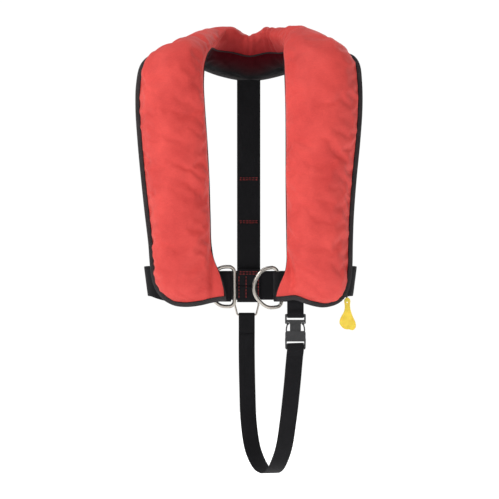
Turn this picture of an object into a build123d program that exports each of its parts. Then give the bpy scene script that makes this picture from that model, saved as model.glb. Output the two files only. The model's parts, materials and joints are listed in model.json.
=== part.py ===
from build123d import *
import os
from math import copysign, cos, pi, radians, sin

# Inflatable life jacket with a harness belt and a crotch strap, in millimetres.
# Origin: the point of the collar lining that rests on the nape of the neck.
# +Z up, -Y forward (the side with the lobes), +X towards the wearer's left.

# ---- webbing and wire ----
BELT_W, BELT_T = 45.0, 2.2          # waist belt webbing
BACK_W, BACK_T = 38.0, 2.0          # back strap webbing
CROTCH_W, CROTCH_T = 25.0, 1.8      # crotch strap webbing
RING_WIRE = 5.5                     # D-ring wire diameter
SMALL_WIRE = 3.0                    # crotch ring wire diameter
FIT = 0.4                           # gap between webbing and what it wraps
HAIR = 0.2                          # gap between sewn neighbours

# ---- cover ----
SEAM_Y = -150.0                     # plane of the lobes' edge seam
WALL = 2.5                          # cover and lining, face fabric with its foam
LOBE_DOME, LOBE_BACK = 30.0, 14.0   # lobe depth in front of and behind the seam
SQUARENESS = 2.5                    # superellipse power of a section
PROFILE_POINTS = 9                  # points on half a section
BIND_W, BIND_T = 6.2, 3.0           # edge binding

# ---- belt loop, in plan ----
BELT_Z = -329.0                     # height of the belt's middle
BELT_FRONT_Y, BELT_BACK_Y = -131.1, 55.0
BELT_HALF_X = 155.0
BELT_CORNER_R = [78.0, 26.0]          # behind and in front

# ---- rings on the belt ----
RING_H, RING_D = 65.0, 44.0         # outer height and depth of a D-ring
RING_CORNER_R = 8.0
RING_L_X, RING_R_X = -22.5, 45.0    # straight bars of the left and right rings
LOOP_L_X = -32.0                    # fold of the left belt loop, which holds its ring by the bow
LOOP_L_R, LOOP_R_R = 3.15, 6.6      # inner radius of the webbing loop that holds each ring
RING_L_Y = BELT_FRONT_Y + BELT_T / 2 + LOOP_L_R
RING_R_Y = BELT_FRONT_Y + BELT_T / 2 + LOOP_R_R
RING_R_TILT = 8.0                   # how far the right D stands off the belt, in degrees
RING_R_LEAN = -8.0                  # sideways lean of the right ring, in degrees

# ---- inflator ----
HEAD_X, HEAD_Y, HEAD_Z = 98.0, -155.0, -283.0   # cylinder axis and lever pivot height
LEVER_Y = -150.0
PIVOT_X = HEAD_X + 5.0
LEVER_R, LEVER_REST = 30.0, 35.0    # lever length and its angle above level
CYL_R, CYL_LEN = 12.7, 112.0

# ---- oral tube ----
TUBE_X, TUBE_Y = -106.0, -153.0

# ---- buckle ----
BUCKLE_X, BUCKLE_Y, BUCKLE_TOP = 68.8, -146.0, -369.5
BUCKLE_W, BUCKLE_T = 31.0, 8.0
BUCKLE_BAR, SOCKET_BAR = 4.6, 7.8   # heights of the bars that the webbing goes round

# ---- pull toggle and its cord ----
CORD_D = 2.5
CORD_POINTS = [
    (128, -150, -270.4),
    (128.5, -150, -283),
    (131, -149, -298),
    (136, -147.4, -312),
    (141.5, -145.2, -326),
    (145.3, -143.6, -338),
    (146, -143, -350),
]

# A lobe station: height, outer edge x, inner edge x, share of the full depth.
LEFT_LOBE = [
    (-347, -116, -72, 0.16),
    (-336, -129, -60, 0.42),
    (-316, -137, -58, 0.72),
    (-285, -141, -57, 0.94),
    (-235, -146, -57, 1.0),
    (-170, -155, -60, 1.0),
    (-100, -162, -64, 1.0),
    (-50, -163, -68, 1.0),
    (-15, -158, -69, 0.96),
]
RIGHT_LOBE = [
    (-347, 126, 82, 0.16),
    (-336, 137, 62, 0.42),
    (-316, 142, 57, 0.72),
    (-285, 147, 56, 0.94),
    (-235, 148, 57, 1.0),
    (-170, 153, 55, 1.0),
    (-100, 160, 55, 1.0),
    (-50, 162, 55, 1.0),
    (-15, 159, 54, 0.96),
]
# A collar station: outer edge, inner edge, direction the cover faces, depth outside and inside.
LEFT_COLLAR = [
    ((-158, SEAM_Y, -15), (-69, SEAM_Y, -15), (0, -1, 0), 28.8, 13.4),
    ((-149, -137, 10), (-66, -130, 14), (-0.1, -0.75, 0.65), 26, 14),
    ((-128, -104, 14), (-60, -96, 33), (-0.28, -0.22, 0.93), 23, 15),
    ((-108, -62, 8), (-53, -68, 36), (-0.4, 0.15, 0.9), 21, 15),
    ((-82, -15, -1), (-41, -43, 38), (-0.36, 0.45, 0.82), 19, 14),
    ((-44, 14, -8), (-22, -30, 42), (-0.18, 0.65, 0.74), 17, 13),
]
NAPE = ((0, 26, -10), (0, -24, 45), (0, 0.74, 0.67), 16, 13)
RIGHT_COLLAR = [
    ((159, SEAM_Y, -15), (54, SEAM_Y, -15), (0, -1, 0), 28.8, 13.4),
    ((151, -137, 10), (53, -130, 14), (0.1, -0.75, 0.65), 26, 14),
    ((130, -104, 14), (50, -96, 33), (0.28, -0.22, 0.93), 23, 15),
    ((109, -62, 8), (46, -68, 36), (0.4, 0.15, 0.9), 21, 15),
    ((82, -15, -1), (38, -43, 38), (0.36, 0.45, 0.82), 19, 14),
    ((44, 14, -8), (21, -30, 42), (0.18, 0.65, 0.74), 17, 13),
]
# Middle line of the crotch strap, from the ring at the back to the buckle in front.
CROTCH_X, CROTCH_Y, CROTCH_TOP = -4.0, 62.5, -375.0
CROTCH_POINTS = [
    (CROTCH_X, CROTCH_Y, -383),
    (CROTCH_X, CROTCH_Y, -435),
    (-3, 61, -490),
    (-1, 55, -540),
    (5, 35, -580),
    (17, 0, -606),
    (30, -45, -613),
    (41, -90, -602),
    (49, -118, -572),
    (55, -134, -530),
    (60, -142, -485),
    (66, BUCKLE_Y, -432),
]


# ---- general helpers ----
def box(lo, hi):
    """A block between two opposite corners."""
    size = [h - l for l, h in zip(lo, hi)]
    mid = [(h + l) / 2 for l, h in zip(lo, hi)]
    return Pos(*mid) * Box(*size)


def rod(start, end, radius):
    """A round bar between two points."""
    a, b = Vector(*start), Vector(*end)
    return Plane(origin=a, z_dir=b - a) * Cylinder(radius, (b - a).length, align=(Align.CENTER, Align.CENTER, Align.MIN))


def pipe(path, radius):
    """A round wire along a path."""
    return sweep(Plane(origin=path @ 0, z_dir=path % 0) * Circle(radius), path=path)


def band(path, thickness, z_low, z_high):
    """Webbing standing on edge: a plan path given its thickness and raised from z_low to z_high."""
    face = trace(path, line_width=thickness)
    return extrude(Pos(0, 0, z_low) * face, z_high - z_low)


def side_band(points, thickness, x_low, x_high, radius=0.0):
    """Webbing whose path lies in a Y-Z plane and whose width runs along X."""
    plane = Plane(origin=(x_low, 0, 0), x_dir=(0, 1, 0), z_dir=(1, 0, 0))
    line = FilletPolyline(*points, radius=radius) if radius else Polyline(*points)
    return extrude(plane * trace(line, line_width=thickness), x_high - x_low, dir=(1, 0, 0))


# ---- cover sections ----
def profile(outer, inner, facing, depth, shrink=0.0):
    """Points of half a superellipse that stands on the line between two edge points."""
    a, b = Vector(*outer), Vector(*inner)
    across = (b - a).normalized()
    n = Vector(*facing)
    n = (n - across * n.dot(across)).normalized()
    half = (b - a).length / 2 - shrink
    rise = copysign(max(abs(depth) - shrink, 0.8), depth)
    mid = (a + b) * 0.5 + n * copysign(HAIR / 2, depth)
    points = []
    for i in range(PROFILE_POINTS):
        angle = pi * i / (PROFILE_POINTS - 1)
        u = copysign(abs(cos(angle)) ** (2 / SQUARENESS), cos(angle))
        v = abs(sin(angle)) ** (2 / SQUARENESS)
        points.append(mid + across * (half * u) + n * (rise * v))
    return points


def wall_wire(outer, inner, facing, depth):
    """Section of one wall of the cover: an outside curve, an inside curve and two short edges."""
    outside = profile(outer, inner, facing, depth)
    inside = profile(outer, inner, facing, depth, WALL)
    return Wire([
        Edge.make_spline(outside),
        Edge.make_line(outside[-1], inside[-1]),
        Edge.make_spline(inside[::-1]),
        Edge.make_line(inside[0], outside[0]),
    ])


def full_wire(outer, inner, facing, front, back, shrink):
    """Section of what lies inside both walls."""
    over = profile(outer, inner, facing, front, shrink)
    under = profile(outer, inner, facing, -back, shrink)
    return Wire([
        Edge.make_spline(over),
        Edge.make_line(over[-1], under[-1]),
        Edge.make_spline(under[::-1]),
        Edge.make_line(under[0], over[0]),
    ])


def lobe_stations(table):
    """Sections of a lobe as edge points, facing direction and depths."""
    rows = []
    for z, outer_x, inner_x, share in table:
        rows.append(
            ((outer_x, SEAM_Y, z), (inner_x, SEAM_Y, z), (0, -1, 0), LOBE_DOME * share, LOBE_BACK * share)
        )
    return rows


def collar_stations():
    return LEFT_COLLAR + [NAPE] + RIGHT_COLLAR[::-1]


def front_wall(rows):
    return Solid.make_loft([wall_wire(*row[:4]) for row in rows], ruled=True)


def back_wall(rows):
    return Solid.make_loft([wall_wire(*row[:3], -row[4]) for row in rows], ruled=True)


def cord_path():
    """The pull cord's line: straight runs with an arc at each turn."""
    radii = []
    pts = [Vector(*p) for p in CORD_POINTS]
    for before, here, after in zip(pts, pts[1:], pts[2:]):
        run = min((here - before).length, (after - here).length)
        half_turn = radians((here - before).get_angle(after - here)) / 2
        radii.append(0.45 * run / (sin(half_turn) / cos(half_turn)))
    return FilletPolyline(*CORD_POINTS, radius=radii), radii


def cord_clearance():
    """Room for the pull cord where it leaves the lobe."""
    return pipe(FilletPolyline(*CORD_POINTS[2:], radius=20), CORD_D)


# ---- binding ----
def lobe_binding(table, corner):
    """Tape round a lobe: up its outer edge from the bottom corner points given."""
    sign = copysign(1, table[0][1])
    edge = [(row[1] + sign * (HAIR + BIND_W / 2 + 0.3), row[0]) for row in table[2:]]
    edge[-1] = (edge[-1][0], edge[-1][1] - 1.0)
    plane = Plane(origin=(0, SEAM_Y - BIND_T / 2, 0), x_dir=(1, 0, 0), z_dir=(0, -1, 0))
    flat = trace(Polyline(*corner, *edge), line_width=BIND_W)
    return extrude(plane * flat, BIND_T, dir=(0, 1, 0))


def collar_binding():
    """Bound lower edge of the collar: a flat tape just outside the cover's outer edge."""
    wires = []
    for outer, inner, facing, _, _ in collar_stations():
        a, b = Vector(*outer), Vector(*inner)
        across = (b - a).normalized()
        n = Vector(*facing)
        n = (n - across * n.dot(across)).normalized()
        near = a - across * 0.6
        far = a - across * (0.6 + BIND_W)
        half = n * (BIND_T / 2)
        wires.append(Wire.make_polygon([near + half, far + half, far - half, near - half], close=True))
    return Solid.make_loft(wires, ruled=True)


# ---- belt ----
def loop_path(fold_x, fold_y, sign, open_to, closed_at, tail_end):
    """Belt's end in plan: a fold, an open loop up to open_to, then back along its own inner face."""
    r = fold_y - BELT_FRONT_Y
    inner_y = BELT_FRONT_Y + BELT_T
    turn = CenterArc((fold_x, fold_y), r, -90 if sign < 0 else 90, 180)
    tail = FilletPolyline(
        (fold_x, fold_y + r),
        (open_to, fold_y + r),
        (closed_at, inner_y),
        (tail_end, inner_y),
        radius=8,
    )
    return turn, tail


def waist_half(sign, fold_x, fold_y, open_to, closed_at, tail_end):
    """Half of the waist belt, from the back sleeve to the loop that holds a ring."""
    main = FilletPolyline(
        (sign * HAIR, BELT_BACK_Y),
        (sign * BELT_HALF_X, BELT_BACK_Y),
        (sign * BELT_HALF_X, BELT_FRONT_Y),
        (fold_x, BELT_FRONT_Y),
        radius=BELT_CORNER_R,
    )
    low, high = BELT_Z - BELT_W / 2, BELT_Z + BELT_W / 2
    whole = band(main, BELT_T, low, high)
    for piece in loop_path(fold_x, fold_y, sign, open_to, closed_at, tail_end):
        whole += band(piece, BELT_T, low, high)
    return whole


def belt_keeper(x_low, x_high):
    """A webbing loop sewn to the lining that the belt runs through."""
    slack = 1.1
    y0, y1 = BELT_FRONT_Y - BELT_T / 2 - slack, BELT_FRONT_Y + BELT_T * 1.5 + slack
    z0, z1 = BELT_Z - BELT_W / 2 - 1.5, BELT_Z + BELT_W / 2 + 1.5
    wall = 1.4
    outer = box((x_low, y0 - wall, z0 - wall), (x_high, y1 + wall, z1 + wall))
    return outer - box((x_low - 1, y0, z0), (x_high + 1, y1, z1))


def belt_slider():
    """Three-bar slide on the right half of the belt: two bars in front, one behind."""
    z_half = BELT_W / 2 + 1.2
    bar, x_mid = 2.6, 98.0
    behind = BELT_FRONT_Y + BELT_T * 1.5 + 1.9
    frame = Part()
    for side in (-1, 1):
        z = BELT_Z + side * (z_half + bar / 2)
        low = (x_mid - 14, BELT_FRONT_Y - 3.2, z - bar / 2)
        high = (x_mid + 14, behind + bar / 2, z + bar / 2)
        frame += box(low, high)
    for x in (x_mid - 12.5, x_mid, x_mid + 12.5):
        frame += rod((x, behind, BELT_Z - z_half - 1), (x, behind, BELT_Z + z_half + 1), bar / 2)
    return frame


def back_sleeve():
    """Webbing sleeve at the foot of the back strap that the belt runs through."""
    slack, wall = 0.6, 1.8
    y0, y1 = BELT_BACK_Y - BELT_T / 2 - slack, BELT_BACK_Y + BELT_T / 2 + slack
    z0, z1 = BELT_Z - BELT_W / 2 - 1.0, BELT_Z + BELT_W / 2 + 1.0
    outer = box((-BACK_W / 2, y0 - wall, z0 - wall), (BACK_W / 2, y1 + wall, z1 + wall))
    return outer - box((-BACK_W, y0, z0), (BACK_W, y1, z1))


# ---- rings ----
def d_ring(bar_x, bar_y, direction, lean):
    """A D-ring: its straight bar upright, its bow pointing along a plan direction, in degrees."""
    half_h, depth = (RING_H - RING_WIRE) / 2, RING_D - RING_WIRE
    corner, shoulder = RING_CORNER_R, 12.0
    edges = [
        Line((0, 0), (0, half_h - corner)),
        RadiusArc((0, half_h - corner), (corner, half_h), corner),
        Line((corner, half_h), (shoulder, half_h)),
        Spline((shoulder, half_h), (depth * 0.8, half_h * 0.66), (depth, 0), tangents=((1, 0), (0, -1))),
    ]
    a = radians(direction)
    plane = Plane(origin=(bar_x, bar_y, BELT_Z), x_dir=(cos(a), sin(a), 0), z_dir=(sin(a), -cos(a), 0))
    half = pipe(plane * Wire(edges), RING_WIRE / 2)
    whole = half + half.mirror(Plane(origin=(0, 0, BELT_Z), z_dir=(0, 0, 1)))
    return whole.rotate(Axis((bar_x, bar_y, BELT_Z), (0, 1, 0)), lean)


def crotch_ring():
    """A flat six-sided wire ring that hangs behind the belt and carries the crotch strap."""
    top, widest, bottom = 17.0, 18.3, 14.6
    drop_wide, drop = 14.0, 29.0
    right = [(0, 0), (top, 0), (widest, -drop_wide), (bottom, -drop), (0, -drop)]
    plane = Plane(origin=(CROTCH_X, CROTCH_Y, CROTCH_TOP + drop), x_dir=(1, 0, 0), z_dir=(0, -1, 0))
    half = pipe(plane * FilletPolyline(*right, radius=2.8), SMALL_WIRE / 2)
    return half + half.mirror(Plane(origin=(CROTCH_X, 0, 0), z_dir=(1, 0, 0)))


def wrap(y, z, wire_r, thickness, width, x_mid, tail_z, closed_side):
    """A webbing loop round a level bar: a ring of webbing plus a flat tail up or down to tail_z."""
    inner = wire_r + FIT
    plane = Plane(origin=(x_mid - width / 2, y, z), x_dir=(0, 1, 0), z_dir=(1, 0, 0))
    ring = extrude(plane * (Circle(inner + thickness) - Circle(inner)), width, dir=(1, 0, 0))
    mid = z + closed_side * (inner + thickness / 2)
    low, high = min(mid, tail_z), max(mid, tail_z)
    tail = box((x_mid - width / 2, y - thickness, low), (x_mid + width / 2, y + thickness, high))
    return ring + tail


# ---- straps ----
def crotch_strap():
    """The crotch strap: flat webbing along its middle line, its width level throughout."""
    path = Spline(*CROTCH_POINTS, tangents=((0, 0, -1), (0, 0, 1)))
    start = Plane(origin=path @ 0, x_dir=(1, 0, 0), z_dir=path % 0)
    return sweep(start * Rectangle(CROTCH_W, CROTCH_T), path=path)


def back_straps():
    """Upper strap from the collar, lower strap from the belt sleeve, sewn face to face where they overlap."""
    sleeve_y = BELT_BACK_Y + BELT_T / 2 + 0.6 + 1.8
    line_top, line_low = (30.0, -22.0), (sleeve_y + BACK_T / 2 + 0.1, -300.0)
    slope = (line_low[0] - line_top[0]) / (line_low[1] - line_top[1])

    def at(z, off=0.0):
        return (line_top[0] + slope * (z - line_top[1]) + off, z)

    upper = side_band([at(-22, -BACK_T), at(-232, -BACK_T)], BACK_T, -BACK_W / 2, BACK_W / 2)
    lower = side_band([at(-162, HAIR), at(-300, HAIR), (line_low[0] + HAIR, -341)], BACK_T, -BACK_W / 2, BACK_W / 2)
    return upper, lower


# ---- buckle ----
def buckle_plug():
    """Upper half of the side-release buckle, without its two arms: a slotted bar and a guide tongue."""
    x, y, top, w = BUCKLE_X, BUCKLE_Y, BUCKLE_TOP, BUCKLE_W
    bar, slot = BUCKLE_BAR, 4.2
    base = box((x - w / 2, y - 3, top - 2 * bar - slot - 1.4), (x + w / 2, y + 3, top))
    base = fillet(base.edges().filter_by(Axis.Y), 1.6)
    base -= box((x - w / 2 + 2.6, y - 5, top - bar - slot), (x + w / 2 - 2.6, y + 5, top - bar))
    foot = top - 2 * bar - slot - 1.4
    neck = box((x - 8.2, y - 2.2, foot - 12), (x + 8.2, y + 2.2, foot + 1))
    tongue = box((x - 2.6, y - 1.5, foot - 23.5), (x + 2.6, y + 1.5, foot - 11))
    body = base + neck + tongue
    for side in (-1, 1):
        body -= rod((x + side * 11.4, y - 4, foot + 0.4), (x + side * 11.4, y + 4, foot + 0.4), 2.3)
    return body


def buckle_arm(side):
    """A sprung arm of the plug: a round root in the base, a thin curved limb and a thumb pad."""
    x, y, top = BUCKLE_X, BUCKLE_Y, BUCKLE_TOP
    foot = top - 14.8
    root = rod((x + side * 11.4, y - 2.6, foot + 0.4), (x + side * 11.4, y + 2.6, foot + 0.4), 2.1)
    line = Spline((x + side * 11.4, foot), (x + side * 13.4, foot - 7), (x + side * 12.6, foot - 16))
    plane = Plane(origin=(0, y, 0), x_dir=(1, 0, 0), z_dir=(0, -1, 0))
    limb = extrude(plane * trace(line, line_width=2.0), 2.4, both=True)
    pad = box(
        (x + side * 13.2 - 2.0, y - 2.8, foot - 23), (x + side * 13.2 + 2.0, y + 2.8, foot - 12)
    )
    pad = fillet(pad.edges().filter_by(Axis.Y), 1.4)
    return root + limb + pad


def buckle_socket():
    """Lower half of the buckle: two plates joined at the foot, open at the sides, with a webbing slot."""
    x, y, top, w, t = BUCKLE_X, BUCKLE_Y, BUCKLE_TOP, BUCKLE_W, BUCKLE_T
    foot = top - 52.9
    mouth = top - 25.5
    half = [(12.6, mouth), (14.2, mouth - 7), (w / 2, mouth - 12), (w / 2 - 0.3, foot + 2), (w / 2 - 1.6, foot)]
    left = [(x - out, z) for out, z in half]
    right = [(x + out, z) for out, z in reversed(half)]
    outline = Polyline(*left, *right, close=True)
    plane = Plane(origin=(0, y, 0), x_dir=(1, 0, 0), z_dir=(0, -1, 0))
    body = extrude(plane * make_face(outline), t / 2, both=True)
    chamber = foot + 14.2
    body -= box((x - w, y - 3.1, chamber), (x + w, y + 3.1, mouth + 1))
    body -= box((x - w / 2 + 2.6, y - t, foot + SOCKET_BAR), (x + w / 2 - 2.6, y + t, foot + 11.8))
    return body


def bar_sleeve(low, high, tail_low, tail_high):
    """Webbing wrapped round one bar of the buckle, given the bar's heights, with its sewn tail."""
    x, y = BUCKLE_X, BUCKLE_Y
    half_w, half_t = CROTCH_W / 2, BUCKLE_T / 2 + 0.3
    wall = 1.6
    loop = box(
        (x - half_w, y - half_t - wall, low - 0.3 - wall),
        (x + half_w, y + half_t + wall, high + 0.3 + wall),
    )
    loop -= box((x - CROTCH_W, y - half_t, low - 0.3), (x + CROTCH_W, y + half_t, high + 0.3))
    return loop + box((x - half_w, y - CROTCH_T / 2, tail_low), (x + half_w, y + CROTCH_T / 2, tail_high))


# ---- inflator ----
def inflator_body():
    """Block that the cylinder and the water-sensing cap screw into, with the lever's slot in its side."""
    x, y, z = HEAD_X, HEAD_Y, HEAD_Z
    block = box((x - 14, y - 11, z - 20), (x + 14, y + 11, z + 24))
    block = fillet(block.edges().filter_by(Axis.Z), 3.0)
    block -= rod((x, y, z - 2), (x, y, z + 25), 4.1)
    block -= rod((x, y, z + 16), (x, y, z + 25), 6.42)
    block -= box((x - 5.2, LEVER_Y - 2.9, z - 12), (x + 20, LEVER_Y + 2.9, z + 14))
    block -= rod((PIVOT_X, LEVER_Y - 8, z), (PIVOT_X, LEVER_Y + 7, z), 1.55)
    return block


def firing_lever():
    """Lever that the pull cord turns: a hub on the pivot, a nose under the piercing pin and a holed tip."""
    x, y, z = PIVOT_X, LEVER_Y, HEAD_Z
    tip = (x + LEVER_R * cos(radians(LEVER_REST)), z + LEVER_R * sin(radians(LEVER_REST)))
    hub = rod((x, y - 2.5, z), (x, y + 2.5, z), 4.0)
    nose = rod((x - 5, y - 2.5, z), (x - 5, y + 2.5, z), 2.4)
    bridge = box((x - 5, y - 2.5, z - 2.4), (x, y + 2.5, z + 2.4))
    plane = Plane(origin=(0, y, 0), x_dir=(1, 0, 0), z_dir=(0, -1, 0))
    arm = extrude(plane * trace(Line((x, z), tip), line_width=4.4), 2.5, both=True)
    end = rod((tip[0], y - 2.5, tip[1]), (tip[0], y + 2.5, tip[1]), 4.2)
    hole = rod((tip[0], y - 4, tip[1]), (tip[0], y + 4, tip[1]), 1.7)
    pin_hole = rod((x, y - 4, z), (x, y + 4, z), 1.55)
    return hub + nose + bridge + arm + end - hole - pin_hole


def piercing_pin():
    """Piston with the needle that opens the cylinder."""
    x, y, z = HEAD_X, HEAD_Y, HEAD_Z
    piston = rod((x, y, z + 5.7), (x, y, z + 10.5), 4.0)
    guide = rod((x, y, z + 10.5), (x, y, z + 13), 1.6)
    needle = Plane(origin=(x, y, z + 13)) * Cone(1.6, 0.3, 4.0, align=(Align.CENTER, Align.CENTER, Align.MIN))
    shoe = box((x - 3.2, y, z + 3.3), (x + 2.4, LEVER_Y + 1.2, z + 6.5))
    return piston + guide + needle + shoe


def piercing_spring():
    """Return spring between the piston and the cylinder's neck."""
    x, y, z = HEAD_X, HEAD_Y, HEAD_Z
    coil = Pos(x, y, z + 11.2) * Helix(pitch=1.5, height=5.6, radius=3.2)
    return pipe(coil, 0.3)


def gas_cylinder():
    """Steel gas cylinder: threaded neck, round shoulder, straight wall and domed end."""
    x, y, z = HEAD_X, HEAD_Y, HEAD_Z + 17.6
    neck = rod((x, y, z), (x, y, z + 10), 6.35)
    neck -= rod((x, y, z - 1), (x, y, z + 8), 2.6)
    wall = rod((x, y, z + 9), (x, y, z + CYL_LEN), CYL_R)
    wall = fillet(wall.edges().filter_by(GeomType.CIRCLE).sort_by(Axis.Z)[0], 5.5)
    wall = fillet(wall.edges().filter_by(GeomType.CIRCLE).sort_by(Axis.Z)[-1], 9.0)
    return neck + wall


def sensor_cap():
    """Knurled cap over the water-sensing cartridge at the foot of the inflator."""
    x, y, z = HEAD_X, HEAD_Y, HEAD_Z - 20 - HAIR
    cap = rod((x, y, z), (x, y, z - 17), 10.8)
    cap = fillet(cap.edges().filter_by(GeomType.CIRCLE).sort_by(Axis.Z)[0], 2.5)
    for k in range(12):
        a = 2 * pi * k / 12
        cap -= rod((x + 11.4 * cos(a), y + 11.4 * sin(a), z - 2), (x + 11.4 * cos(a), y + 11.4 * sin(a), z - 18), 1.4)
    return cap


def stem_and_nut():
    """Bladder stem through the inflator body's front, and the cap nut that clamps it."""
    x, y, z = HEAD_X - 9.0, HEAD_Y, HEAD_Z - 9
    stem = rod((x, y - 11 - HAIR, z), (x, y - 15, z), 5.0) + rod((x, y - 15, z), (x, y - 16.2, z), 9.0)
    nut = RegularPolygon(6.6, 6)
    nut = Plane(origin=(x, y + 11 + HAIR, z), z_dir=(0, 1, 0)) * extrude(nut, 2.2)
    return stem, nut


# ---- oral tube ----
def oral_parts():
    x, y = TUBE_X, TUBE_Y
    flange = rod((x, y, -262), (x, y, -258.5), 13.0)
    tube = rod((x, y, -258.5 + HAIR), (x, y, -128), 6.0) - rod((x, y, -270), (x, y, -100), 3.8)
    valve = rod((x, y, -128 + HAIR), (x, y, -106), 8.0) + rod((x, y, -107), (x, y, -96), 5.4)
    valve -= rod((x, y, -130), (x, y, -90), 2.6)
    cap = rod((x, y, -105.6), (x, y, -92), 7.6) - rod((x, y, -107), (x, y, -94.4), 5.7)
    return flange, tube, valve, cap


def whistle():
    """Flat twin-chamber whistle in its pocket."""
    x, y, z = -92.0, -152.0, -302.0
    body = box((x - 9, y - 5, z - 20), (x + 9, y + 5, z + 20))
    body = fillet(body.edges().filter_by(Axis.Y), 5.0)
    body -= box((x - 10, y - 5.5, z + 4), (x + 10, y - 2.4, z + 8))
    body -= rod((x, y - 6, z - 14.5), (x, y + 6, z - 14.5), 2.0)
    return body


# ---- bladder ----
def bladder():
    """Folded air bladder that fills the cover, with room left for the hardware."""
    left, right = lobe_stations(LEFT_LOBE)[1:-1], lobe_stations(RIGHT_LOBE)[1:-1]
    rows = left + collar_stations() + right[::-1]
    whole = Solid.make_loft([full_wire(*row, shrink=WALL + 0.8) for row in rows], ruled=True)
    for table in (LEFT_LOBE, RIGHT_LOBE):
        whole -= closure_strip(table, 9.5, 0.4)
    whole -= box((HEAD_X - 20, -173, HEAD_Z - 42), (142, -130, HEAD_Z + 26))
    whole -= rod((HEAD_X, HEAD_Y, HEAD_Z + 20), (HEAD_X, HEAD_Y, HEAD_Z + 20 + CYL_LEN), CYL_R + 1.2)
    whole -= box((HEAD_X - 13, HEAD_Y, HEAD_Z + 20), (HEAD_X + 13, -130, HEAD_Z + 18 + CYL_LEN))
    whole -= box((122, -156, -344), (150, -130, HEAD_Z - 30))
    whole -= box((TUBE_X - 14, TUBE_Y - 14, -264), (TUBE_X + 14, -130, -256))
    whole -= box((TUBE_X - 9, TUBE_Y - 9, -258), (TUBE_X + 9, -130, -62))
    whole -= box((-103, -160, -326), (-81, -130, -280))
    return whole


def bladder_tape(table):
    """Reflective tape bonded across the front of a folded bladder lobe, near its top."""
    wires = []
    for row in lobe_stations(table)[6:8]:
        over = profile(*row[:4], shrink=WALL + 0.1)[2:-2]
        under = profile(*row[:4], shrink=WALL + 0.4)[2:-2]
        wires.append(Wire([
            Edge.make_spline(over),
            Edge.make_line(over[-1], under[-1]),
            Edge.make_spline(under[::-1]),
            Edge.make_line(under[0], over[0]),
        ]))
    return Solid.make_loft(wires, ruled=True)


# ---- toggle ----
def pull_toggle():
    """Pull tag: a flat neck with an eye for the cord, and a skewed pear-shaped grip."""
    x, y, top = 146.0, -143.0, -345.0
    outline = Spline(
        (x + 1.5, top - 47.6),
        (x - 7.0, top - 44.9),
        (x - 11.4, top - 37),
        (x - 8.8, top - 28.5),
        (x - 4.4, top - 20),
        (x - 3.9, top - 10),
        (x - 3.6, top - 2.4),
        (x + 0.2, top),
        (x + 4.0, top - 2.4),
        (x + 4.4, top - 10),
        (x + 5.6, top - 20),
        (x + 8.6, top - 28.5),
        (x + 12.6, top - 38),
        (x + 12.2, top - 45.6),
        (x + 7.8, top - 48.8),
        periodic=True,
    )
    plane = Plane(origin=(0, y, 0), x_dir=(1, 0, 0), z_dir=(0, -1, 0))
    tag = extrude(plane * make_face(outline), 2.2, both=True)
    tag -= rod((x, y - 4, top - 7.4), (x, y + 4, top - 7.4), 1.0)
    tag -= rod((x, y, top + 1), (x, y, top - 6), CORD_D / 2 + FIT)
    return tag


def closure_strip(table, width, half_t):
    """Hook-and-loop strip inside the outer seam of a lobe."""
    low, high = table[4], table[7]
    inset = copysign(8.5, low[1])
    plane = Plane(origin=(0, SEAM_Y, 0), x_dir=(1, 0, 0), z_dir=(0, -1, 0))
    flat = trace(Line((low[1] - inset, low[0]), (high[1] - inset, high[0])), line_width=width)
    return extrude(plane * flat, half_t, both=True)


def corner_flap(points):
    """Thin flared corner of the cover beside a ring."""
    plane = Plane(origin=(0, SEAM_Y, 0), x_dir=(1, 0, 0), z_dir=(0, -1, 0))
    return extrude(plane * make_face(Polyline(*points, close=True)), 1.5, both=True)


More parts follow.
